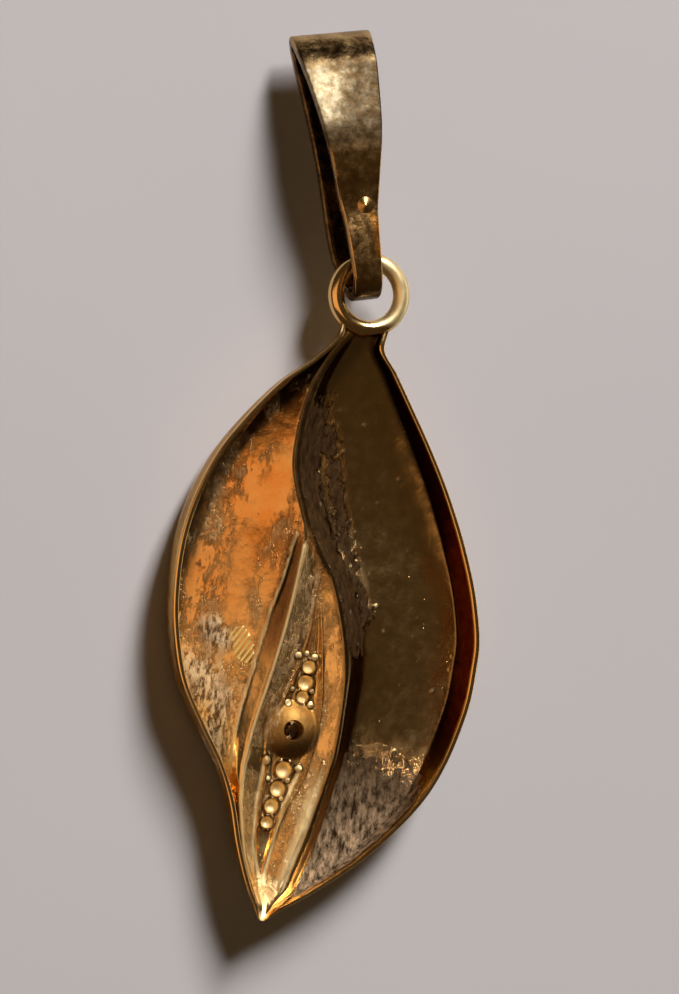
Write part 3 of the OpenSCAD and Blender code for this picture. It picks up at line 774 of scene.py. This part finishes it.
class Casting:
    """The leaf's points in its own frame, the lines of its relief at their heights, and its main parts."""

    def __init__(self, leaf):
        self.x, self.y, self.z = (self.read(leaf, "co") / MM - np.array(SHIFT)).T
        self.nx, _, self.nz = self.read(leaf, "normal").T
        self.below_neck = self.y < NECK_Y
        self.s = self.line(RELIEF, S_LINE)
        self.crest = self.s - self.line(RELIEF, PANEL)
        self.left, self.right = self.line(OUTLINE, LEFT), self.line(OUTLINE, RIGHT)
        self.inside = rise(self.nz, -0.2, 0.3) * fall(self.z, -0.15, 0.3) * self.below_neck
        self.small = self.inside * (self.x < self.crest - 0.05)
        self.panel = self.inside * (self.x > self.crest + 0.1) * (self.x < self.s - 0.1)
        self.on_dome = np.hypot(self.x - SETTING_X, self.y - SETTING_Y) < SETTING_D / 2
        self.right_of_s = rise(self.x, self.s, 0.3)

    @staticmethod
    def read(leaf, attribute):
        values = np.empty(3 * len(leaf.data.vertices))
        leaf.data.vertices.foreach_get(attribute, values)
        return values.reshape(-1, 3)

    def line(self, table, column):
        return np.array([at(table, column, y) for y in np.clip(self.y, TIP_Y, NECK_Y)])

    def near(self, line, width):
        return near(self.x, self.y, line, width)

    def slope(self):
        """The small lobe's slope up to the crest."""
        return band(self.x, self.crest - 0.62, 0.1, self.crest - 0.02, 0.1) * fall(self.y, 14, 0.8)

    def shoulder(self):
        """The pebbly upper part of the step."""
        return self.inside * self.near(SHOULDER, 0.9)

    def wall(self):
        """Painted shade on the big lobe's inner wall."""
        faces_in = (self.nx < 0.3) * (self.nz > -0.3) * self.below_neck
        beside_rim = rise(self.x, self.right - 0.55, 0.3) * fall(self.z, -0.04, 0.08)
        return (1 - 0.45 * fall(self.y, 8, 2.5)) * beside_rim * faces_in

    def margin(self):
        """Painted shade along the upper left margin of the small lobe, below its wall."""
        return self.small * fall(self.x, self.left + 1.2, 0.3) * rise(self.y, 10.5, 3)

    def stone(self):
        """The rough, stony ground right of the S-line."""
        x, y, s = self.x, self.y, self.s
        beside = self.inside * band(x, s + 0.02, 0.2, s + 1.5, 0.7) * band(y, 8.5, 2.5, 20.3, 3)
        return np.maximum(beside, 0.7 * self.shoulder() * rise(x, s, 0.2))

    def streaks(self):
        """The streaked low part of the big lobe."""
        return self.inside * rise(self.x, self.s + 0.35, 0.3) * fall(self.y + 0.25 * (self.x - 2), 8.6, 3.5)

    def highlit_crumbs(self):
        """Rough crumbs painted bright as highlights: on the low part of the small lobe and thinly beside the
        crest.
        """
        beside = self.panel * (self.x < self.crest + 0.9) * (self.y > 6)
        rough = self.near(ROUGH_SPOT, 0.7) + self.near(ROUGH_LOW, 1.1)
        return self.small * (self.x < self.crest - 0.6) * rough + 0.25 * beside


def paint_tarnish_and_shade(leaf, c):
    """Brown and dark painted shade in the corners of the relief, on its steep faces, walls, step and dome,
    over a faint tarnish right of the S-line.
    """
    # Painted shade, brown: on the steep faces right of the S-line and on the small lobe's slope, over a faint
    # tarnish
    shaded_steep = fall(c.nz, 0.93, 0.3) * fall(c.z, -0.12, 0.2) * (c.nz > -0.4)
    shaded_slope = c.inside * c.slope() * rise(c.y, 7.5, 3)
    paint(leaf, "tarnish_and_shade", ((0.15 * c.inside + shaded_steep) * c.right_of_s + shaded_slope) * c.below_neck)
    step = c.inside * band(c.x, c.s + 0.1, 0.3, c.s + 1.3, 0.7) * rise(c.y, 4, 3)
    shaded_seam = c.inside * band(c.x, c.s - 0.2, 0.15, c.s + 0.3, 0.2) * rise(c.y, 2, 2)
    across_dome = 0.55 * (c.x - SETTING_X) - (c.y - SETTING_Y)
    dome_shade = c.inside * c.on_dome * rise(across_dome, -0.1, 0.9)
    # Painted shade, near black: the inner wall, the step, the shoulder, the dome's lower side, the S-line's
    # seam, the upper left margin and the slope
    paint(leaf, "painted_shade", c.wall() + 0.5 * step + 0.3 * c.shoulder() + 0.8 * dome_shade + 0.8 * shaded_seam
          + 0.9 * c.margin() + 0.6 * shaded_slope * rise(c.y, 8.5, 3))


def paint_ground(leaf, c):
    """Where the casting is rough, streaked, crusted or worn, and where its crumbs are painted bright as
    highlights.
    """
    paint(leaf, "stone", np.maximum(c.stone(), 0.95 * c.streaks()))
    paint(leaf, "streaks", c.streaks() * fall(c.y, 7.5, 5.5))
    paint(leaf, "highlit_crumbs", c.highlit_crumbs())
    paint(leaf, "rubble", c.highlit_crumbs() + 0.8 * c.stone() + c.streaks())
    paint(leaf, "pebbles", c.shoulder() + 0.5 * c.inside * c.right_of_s * (1 - c.wall()))
    worn = c.small * (1 - c.slope()) * (1 - 0.9 * c.near(CLEAN_PART, 1.0))
    paint(leaf, "worn", worn + 0.7 * c.panel)


def paint_metal(leaf, c):
    """Satin inside, a painted orange reflection in the small lobe, painted pale highlights on ridges and
    borders, dull on the dome and the solder.
    """
    paint(leaf, "matte", c.inside)
    # Painted orange reflection in the upper small lobe
    paint(leaf, "reflected_orange", c.small * rise(c.y, 8.5, 5) * (1 - c.margin()))
    paint(leaf, "strokes", c.small * c.near(STROKES, 0.62))
    paint(leaf, "dome", c.inside * c.on_dome)
    solder = rise(c.y, NECK_Y - 0.1, 0.3) * rise(c.x, -0.2, 0.6) + c.near(POLISHED_TIP, 0.3) * (c.nz > 0)
    paint(leaf, "solder", solder)
    # Painted highlights: pale lines along the borders and ridges; the solder and the polished tip are pale as
    # well
    borders = (c.near(LEFT_BORDER, 0.1) + c.near(RIGHT_BORDER, 0.1)) * ~c.on_dome
    ridges = c.near(CREST_RIDGE, 0.1) + c.near(CHANNEL_RIDGE, 0.3) * fall(c.y, 6.3, 2.2)
    paint(leaf, "solder_and_highlight", c.inside * (0.9 * borders + ridges + 0.8 * c.near(EDGE_RIDGE, 0.07)) + solder)


def paint_leaf(leaf):
    casting = Casting(leaf)
    for paint_part in (paint_tarnish_and_shade, paint_ground, paint_metal):
        paint_part(leaf, casting)


# Materials. Some sockets of a Mix node share a name, so its colours go by number.
MIX_A, MIX_B, MIX_COLOUR = 6, 7, 2
EMPTY_CELLS = 0.72


class Nodes:
    """Short calls for a material's nodes, with sizes in millimetres and scales per millimetre."""

    def __init__(self, name):
        self.material = bpy.data.materials.new(name)
        self.material.use_nodes = True
        self.tree = self.material.node_tree
        self.shader = self.tree.nodes["Principled BSDF"]
        self.coords = self.new("ShaderNodeTexCoord", {}).outputs["Object"]

    def new(self, kind, inputs, **settings):
        """A node with its settings, and its inputs by name or number."""
        node = self.tree.nodes.new(kind)
        for key, value in settings.items():
            setattr(node, key, value)
        for key, value in inputs.items():
            self.put(value, node.inputs[key])
        return node

    def put(self, value, socket):
        """Sets a socket to a number or colour, or links it to an output."""
        if isinstance(value, (int, float, tuple)):
            socket.default_value = value
        else:
            self.tree.links.new(value, socket)

    def shade(self, **values):
        """Sets or links the shader's own sockets, with _ for the spaces in their names."""
        for name, value in values.items():
            self.put(value, self.shader.inputs[name.replace("_", " ")])

    def stretched(self, scale, turn=0.0):
        inputs = {"Vector": self.coords, "Scale": scale, "Rotation": (0, 0, turn)}
        return self.new("ShaderNodeMapping", inputs).outputs["Vector"]

    def noise(self, per_mm, detail, rough, vector=None):
        inputs = {"Vector": vector or self.coords, "Scale": per_mm / MM, "Detail": detail, "Roughness": rough}
        return self.new("ShaderNodeTexNoise", inputs).outputs["Fac"]

    def ramp(self, value, low, high, to_low=0.0, to_high=1.0):
        inputs = {"Value": value, "From Min": low, "From Max": high, "To Min": to_low, "To Max": to_high}
        return self.new("ShaderNodeMapRange", inputs).outputs["Result"]

    def math(self, operation, *values):
        return self.new("ShaderNodeMath", dict(enumerate(values)), operation=operation).outputs["Value"]

    def fold(self, operation, values):
        """One value from several, taken two by two."""
        result, *others = values
        for value in others:
            result = self.math(operation, result, value)
        return result

    def times(self, *values):
        return self.fold("MULTIPLY", values)

    def plus(self, *values):
        return self.fold("ADD", values)

    def largest(self, *values):
        return self.fold("MAXIMUM", values)

    def blend(self, share, a, b):
        """The colour a share of the way from a to b."""
        inputs = {"Factor": share, MIX_A: a, MIX_B: b}
        return self.new("ShaderNodeMix", inputs, data_type="RGBA").outputs[MIX_COLOUR]

    def bump(self, height, depth, normal=None):
        inputs = {"Strength": 1.0, "Distance": depth * MM, "Height": height}
        if normal:
            inputs["Normal"] = normal
        return self.new("ShaderNodeBump", inputs).outputs["Normal"]

    def specks(self, per_mm, size):
        """Small scattered grains in some of the cells, 1 at their middle."""
        cells = self.new("ShaderNodeTexVoronoi", {"Vector": self.coords, "Scale": per_mm / MM})
        drawn = self.new("ShaderNodeSeparateColor", {"Color": cells.outputs["Color"]}).outputs["Red"]
        chosen = self.math("GREATER_THAN", drawn, EMPTY_CELLS)
        return self.times(self.ramp(cells.outputs["Distance"], size, 0.0), chosen)

    def stripes(self, pitch, turn):
        """Parallel stripes, 1 along their middles."""
        across = self.new("ShaderNodeSeparateXYZ", {"Vector": self.stretched((1, 1, 1), turn)}).outputs["X"]
        wave = self.math("SINE", self.times(across, 2 * math.pi / (pitch * MM)))
        return self.ramp(wave, -0.2, 0.3)

    def distance(self, vector, spot):
        return self.new("ShaderNodeVectorMath", {0: vector, 1: spot}, operation="DISTANCE").outputs["Value"]

    def to_nearest(self, spots):
        """Distance in plan to the nearest of some (x, y, radius) spots, as a share of its radius."""
        flat = self.stretched((1, 1, 0))
        shares = []
        for x, y, r in spots:
            row_x, row_y, _ = to_row((x, y, 0))
            shares.append(self.math("DIVIDE", self.distance(flat, (row_x, row_y, 0)), r * MM))
        return self.fold("MINIMUM", shares)

    def layer(self, name):
        """A mask painted on the piece's points."""
        return self.new("ShaderNodeAttribute", {}, attribute_name=name).outputs["Fac"]


# Some colours stand for light: the tarnish brown in part and the near-black brown are painted shade, with
# their dull edge tint; the pale, silver and yellow ones are painted highlights and glints; the red-orange one
# is a painted reflection; the bail's brown and dark ones are painted shade
GOLD = (0.80, 0.54, 0.24, 1)
TARNISH_AND_SHADE = (0.24, 0.12, 0.045, 1)
SHADE_DARK = (0.05, 0.026, 0.013, 1)
PALE_SOLDER_AND_HIGHLIGHT = (0.98, 0.81, 0.46, 1)
SILVER_HIGHLIGHT = (0.98, 0.87, 0.62, 1)
REFLECTED_ORANGE = (0.72, 0.34, 0.10, 1)
CRUST = (0.12, 0.07, 0.035, 1)
DOME_BROWN = (0.40, 0.22, 0.06, 1)
PITTED = (0.050, 0.028, 0.013, 1)
STONY = (0.15, 0.085, 0.036, 1)
STREAKY = (0.80, 0.62, 0.42, 1)
GLINT_YELLOW = (1.0, 0.80, 0.32, 1)
BRIGHT_EDGE = (1.0, 0.78, 0.5, 1)
SHADE_EDGE = (0.48, 0.38, 0.28, 1)
BAIL_LIT = (0.42, 0.36, 0.24, 1)
BAIL_SMUDGE = (0.07, 0.052, 0.026, 1)
BAIL_BROWN_SHADE = (0.36, 0.2, 0.07, 1)
BAIL_SHADE_DARK = (0.05, 0.03, 0.013, 1)
BAIL_ORANGE = (1.0, 0.42, 0.08, 1)
CLEAR = (1, 1, 1, 1)
DIAMOND_IOR = 2.417

STROKE_PITCH, STROKE_TURN = 0.16, 0.45
CRUMB_STRETCH, CRUMB_TURN = (1, 0.4, 1), -0.45
WORN_STRETCH, WORN_TURN = (1, 0.45, 1), 0.25


class LeafPatterns:
    """What the leaf's colour, roughness and bumps share: its masks, broken up by noise."""

    def __init__(self, n):
        self.matte = n.layer("matte")
        self.patchy = n.noise(2.5, 4, 0.6)
        self.crumbs = n.noise(5, 6, 0.72, n.stretched(CRUMB_STRETCH, CRUMB_TURN))
        # Bright crumbs, painted as highlights
        self.bright = n.times(n.ramp(self.crumbs, 0.46, 0.57), n.layer("highlit_crumbs"))
        patches = n.ramp(n.noise(1.1, 7, 0.72, n.stretched(WORN_STRETCH, WORN_TURN)), 0.46, 0.62)
        self.worn = n.times(patches, n.ramp(self.crumbs, 0.38, 0.56, 0.25, 1.0), n.layer("worn"))
        fine_edge = n.ramp(self.crumbs, 0.3, 0.7, -0.25, 0.2)
        wide_edge = n.ramp(self.patchy, 0.35, 0.65, -0.2, 0.15)
        self.stone = n.ramp(n.plus(n.layer("stone"), fine_edge, wide_edge), 0.38, 0.62)
        self.pebbles = n.times(n.specks(1.8, 0.22), n.layer("pebbles"), 0.7)
        broken_up = n.plus(n.layer("strokes"), n.ramp(n.noise(3, 2, 0.5), 0.3, 0.7, -0.3, 0.2))
        self.strokes = n.times(n.stripes(STROKE_PITCH, STROKE_TURN), n.ramp(broken_up, 0.3, 0.4))
        self.to_bead = n.to_nearest([*BEADS, *GRAINS])
        # Painted highlight: the beads and grains are pale
        bead = n.times(n.ramp(self.to_bead, 1.0, 0.8), self.matte, 0.95)
        self.solder_and_highlight = n.largest(n.layer("solder_and_highlight"), bead)


def leaf_colour(n, p):
    """Gold under a painted orange reflection, wear, crust, tarnish and painted shade, then the rough ground,
    then all that shines: painted highlights and glints.
    """
    # Painted orange reflection in the small lobe, broken up by noise
    reflected_red = n.times(n.ramp(n.noise(0.6, 4, 0.6), 0.35, 0.6, 0.4, 1.0), n.layer("reflected_orange"))
    colour = n.blend(n.times(p.worn, 0.5), n.blend(reflected_red, GOLD, REFLECTED_ORANGE), TARNISH_AND_SHADE)
    crust = n.math("SUBTRACT", n.times(n.layer("highlit_crumbs"), 0.9), p.bright)
    colour = n.blend(n.ramp(crust, 0.0, 1.0), colour, CRUST)
    colour = n.blend(n.layer("dome"), colour, DOME_BROWN)
    # Faint tarnish with brown painted shade, then near-black painted shade
    tarnish_and_shade = n.times(n.ramp(p.patchy, 0.3, 0.7, 0.75, 1.0), n.layer("tarnish_and_shade"))
    painted_shade = n.times(n.ramp(p.patchy, 0.35, 0.65, 1.0, 0.85), n.layer("painted_shade"))
    colour = n.blend(painted_shade, n.blend(tarnish_and_shade, colour, TARNISH_AND_SHADE), SHADE_DARK)
    ground = n.blend(n.ramp(p.crumbs, 0.38, 0.66), PITTED, n.blend(n.layer("streaks"), STONY, STREAKY))
    colour = n.blend(n.ramp(p.stone, 0.0, 0.5), colour, ground)
    # Painted shade in a ring round each bead and grain
    outline = n.times(n.ramp(p.to_bead, 1.55, 1.3), n.ramp(p.to_bead, 0.9, 1.05), p.matte, 0.8)
    colour = n.blend(outline, colour, SHADE_DARK)
    # Painted highlights and glints on the bright crumbs and pebbles
    colour = n.blend(n.largest(p.bright, p.pebbles), colour, SILVER_HIGHLIGHT)
    # Painted highlights on borders, ridges and beads, pale solder, and on top scratch strokes painted bright
    # yellow as glints
    return n.blend(p.strokes, n.blend(p.solder_and_highlight, colour, PALE_SOLDER_AND_HIGHLIGHT), GLINT_YELLOW)


def leaf_roughness(n, p):
    light = n.largest(p.bright, p.solder_and_highlight, p.pebbles, n.layer("dome"))
    rough = n.plus(
        n.ramp(n.noise(2.2, 5, 0.65), 0.3, 0.7, 0.12, 0.22),
        n.times(p.matte, 0.03),
        n.times(p.worn, 0.16),
        n.times(light, p.matte, 0.36),
        n.times(n.layer("solder"), 0.28),
        n.times(p.strokes, 0.4),
    )
    return n.largest(rough, n.ramp(p.stone, 0.5, 1.0, 0.0, 0.78))


def leaf_bumps(n, p):
    bumps = (
        (n.times(n.noise(8, 5, 0.7), p.matte), 0.007),
        (n.times(n.noise(1.6, 2, 0.5), p.matte), 0.02),
        (n.times(p.crumbs, n.layer("rubble")), 0.12),
        (n.times(p.crumbs, p.worn), 0.045),
        (n.plus(p.pebbles, n.times(p.strokes, 0.6)), 0.05),
        (n.times(n.specks(5.5, 0.16), p.matte), 0.008),
    )
    normal = None
    for height, depth in bumps:
        normal = n.bump(height, depth, normal)
    return normal


def leaf_gold():
    n = Nodes("leaf_gold")
    p = LeafPatterns(n)
    n.shade(
        Metallic=1.0,
        # The edge tint is dulled where painted shade lies
        Specular_Tint=n.blend(n.layer("painted_shade"), BRIGHT_EDGE, SHADE_EDGE),
        Base_Color=leaf_colour(n, p),
        Roughness=leaf_roughness(n, p),
        Normal=leaf_bumps(n, p),
    )
    return n.material


def bail_gold():
    n = Nodes("bail_gold")
    lit = n.layer("lit")
    patches = n.ramp(n.noise(1.1, 5, 0.65), 0.42, 0.6)
    smudges = n.ramp(n.noise(2.6, 5, 0.7), 0.4, 0.62)
    # Coats over the gold: the painted highlight zone, brown painted shade, dark painted shade and the painted
    # orange reflections
    coats = (
        (n.times(lit, n.ramp(smudges, 0.0, 1.0, 1.0, 0.8)), n.blend(smudges, BAIL_LIT, BAIL_SMUDGE)),
        (n.times(n.layer("brown_shade"), n.ramp(patches, 0.0, 1.0, 0.5, 0.8)), BAIL_BROWN_SHADE),
        (n.times(n.layer("painted_shade"), n.ramp(smudges, 0.0, 1.0, 0.8, 1.0)), BAIL_SHADE_DARK),
        (n.layer("orange"), BAIL_ORANGE),
    )
    colour = n.blend(n.times(patches, 0.6), GOLD, TARNISH_AND_SHADE)
    for share, coat in coats:
        colour = n.blend(share, colour, coat)
    plain = n.ramp(n.noise(3.0, 5, 0.7), 0.35, 0.65, 0.14, 0.3)
    to_nick = n.distance(n.coords, tuple(to_row(BAIL_PLACE @ NICK_SPOT)))
    dents = n.bump(n.noise(1.2, 3, 0.5), 0.03)
    nick = n.bump(n.ramp(to_nick, 0.0, NICK_R * MM, 1.0, 0.0), NICK_HEIGHT, dents)
    n.shade(
        Metallic=1.0,
        Base_Color=colour,
        Roughness=n.plus(plain, n.times(lit, n.ramp(smudges, 0.0, 1.0, 0.35, 0.3))),
        Normal=n.bump(n.noise(6, 4, 0.6), 0.006, nick),
    )
    return n.material


def diamond_clear():
    n = Nodes("diamond_clear")
    n.shade(Base_Color=CLEAR, Roughness=0.0, IOR=DIAMOND_IOR, Transmission_Weight=1.0)
    return n.material


leaf = build_leaf()
paint_leaf(leaf)
leaf.data.materials.clear()
leaf.data.materials.append(leaf_gold())
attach(leaf, "root")
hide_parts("leaf")

bail = build_bail()
bail.data.materials.append(bail_gold())
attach(bail, "root")
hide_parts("bail")

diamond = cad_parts["diamond"]
diamond.data.materials.clear()
diamond.data.materials.append(diamond_clear())


# Camera: the photograph looks down on the back, turned 10.3 degrees and leaning 16 degrees to the left.
# It aims at a spot in the leaf's own frame, and its sensor's longer side is upright.
TURN, LEAN = math.radians(10.3), math.radians(16)
PHOTO_RIGHT = Vector((math.cos(TURN), math.sin(TURN), 0))
PHOTO_UP = Vector((-math.sin(TURN), math.cos(TURN), 0))
UP = Vector((0, 0, 1))
AIM = Vector((0.144, 15.309, 0))
CAMERA_AWAY, VIEW_HEIGHT = 130, 35.5
SENSOR_HEIGHT = 36
CLIP = 10 * MM, 10_000 * MM


def aim_camera():
    data = bpy.data.cameras.new("camera")
    data.sensor_width = SENSOR_HEIGHT
    data.lens = SENSOR_HEIGHT * CAMERA_AWAY / VIEW_HEIGHT
    data.clip_start, data.clip_end = CLIP
    camera = bpy.data.objects.new("camera", data)
    back = UP * math.cos(LEAN) - PHOTO_RIGHT * math.sin(LEAN)
    side = PHOTO_RIGHT * math.cos(LEAN) + UP * math.sin(LEAN)
    turn = Matrix((side, PHOTO_UP, back)).transposed().to_4x4()
    camera.matrix_world = Matrix.Translation((AIM + SHIFT + back * CAMERA_AWAY) * MM) @ turn
    bpy.context.scene.collection.objects.link(camera)
    bpy.context.scene.camera = camera


# Lights: all stand at one distance from the row's middle
LIGHT_AWAY = 600
KEY_WHITE = (1.0, 0.96, 0.92)
CARD_ORANGE = (1.0, 0.58, 0.28)
CARD_CREAM = (1.0, 0.93, 0.8)
ROOM = (0.05, 0.033, 0.016, 1)


def towards(across, upwards, height):
    """A direction from the leaf: shares to the photograph's right, to its top and up from the floor."""
    return (PHOTO_RIGHT * across + PHOTO_UP * upwards + UP * height).normalized()


def soft_box(name, direction, width, height, radiance, colour, on_floor=True):
    """A soft light with straight sides. Its power follows from its brightness and its size."""
    data = bpy.data.lights.new(name, "AREA")
    data.shape = "RECTANGLE"
    data.size, data.size_y = width * MM, height * MM
    data.energy = radiance * math.pi * data.size * data.size_y
    data.color = colour
    light = bpy.data.objects.new(name, data)
    light.location = direction * LIGHT_AWAY * MM
    light.rotation_mode = "QUATERNION"
    light.rotation_quaternion = (-direction).to_track_quat("-Z", "Y")
    light.visible_diffuse = on_floor
    bpy.context.scene.collection.objects.link(light)


def studio():
    soft_box("key", towards(0.28, 0.70, 0.66), 120, 270, 40.0, KEY_WHITE)
    soft_box("left_card", towards(-0.58, -0.05, 0.81), 355, 700, 0.9, CARD_ORANGE, on_floor=False)
    soft_box("right_card", towards(0.98, 0.1, 0.12), 500, 200, 1.4, CARD_CREAM, on_floor=False)
    world = bpy.data.worlds.new("studio")
    world.use_nodes = True
    background = world.node_tree.nodes["Background"]
    background.inputs["Color"].default_value = ROOM
    background.inputs["Strength"].default_value = 1.0
    bpy.context.scene.world = world


FLOOR_HALF = 400
FLOOR_GREY, FLOOR_LILAC = (0.62, 0.60, 0.63, 1), (0.66, 0.64, 0.66, 1)


def floor():
    """A pale ground, as low as the lowest point of all pieces."""
    half, z = FLOOR_HALF * MM, min(0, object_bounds()[0].z)
    corners = [(-half, -half, z), (half, -half, z), (half, half, z), (-half, half, z)]
    piece = new_mesh("floor", corners, [(0, 1, 2, 3)])
    n = Nodes("floor_pale")
    tint = n.ramp(n.noise(0.02, 3, 0.5), 0.3, 0.7)
    n.shade(Base_Color=n.blend(tint, FLOOR_GREY, FLOOR_LILAC), Roughness=0.7)
    piece.data.materials.append(n.material)
    piece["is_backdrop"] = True


aim_camera()
studio()
floor()
bpy.context.scene.view_settings.view_transform = "Standard"
